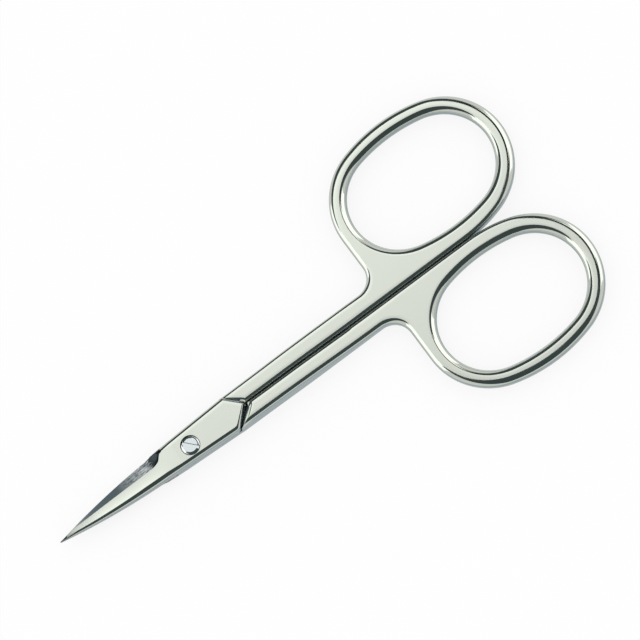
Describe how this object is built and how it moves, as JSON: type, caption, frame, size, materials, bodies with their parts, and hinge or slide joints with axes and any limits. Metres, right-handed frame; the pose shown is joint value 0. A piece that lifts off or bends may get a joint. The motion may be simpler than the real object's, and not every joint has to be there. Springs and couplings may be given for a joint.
{
  "type": "cuticle scissors",
  "caption": "Small pointed scissors of polished steel: two lapped halves with narrow tapered blades, long straight shanks and oval finger rings on a slotted pivot screw.",
  "frame": {"origin": "on the pivot axis, at the flat underside that the closed scissors lie on", "axes": "+X from the pivot to the blade tips, +Z along the pivot axis to the screw's head, +Y to the side of the back half's finger ring"},
  "size_m": [0.09, 0.0458, 0.0033],
  "materials": {
    "half_steel": "polished and plated, with a satin trace on the flats",
    "screw_steel": "polished"
  },
  "bodies": {
    "back": {"back_half": "half_steel", "pivot_screw": "screw_steel"},
    "front": {"front_half": "half_steel"}
  },
  "joints": [
    {"name": "pivot", "type": "hinge", "parent": "back", "child": "front", "pos_m": [0, 0, 0.00165], "axis": [0, 0, 1], "range_deg": [0, 135]}
  ]
}
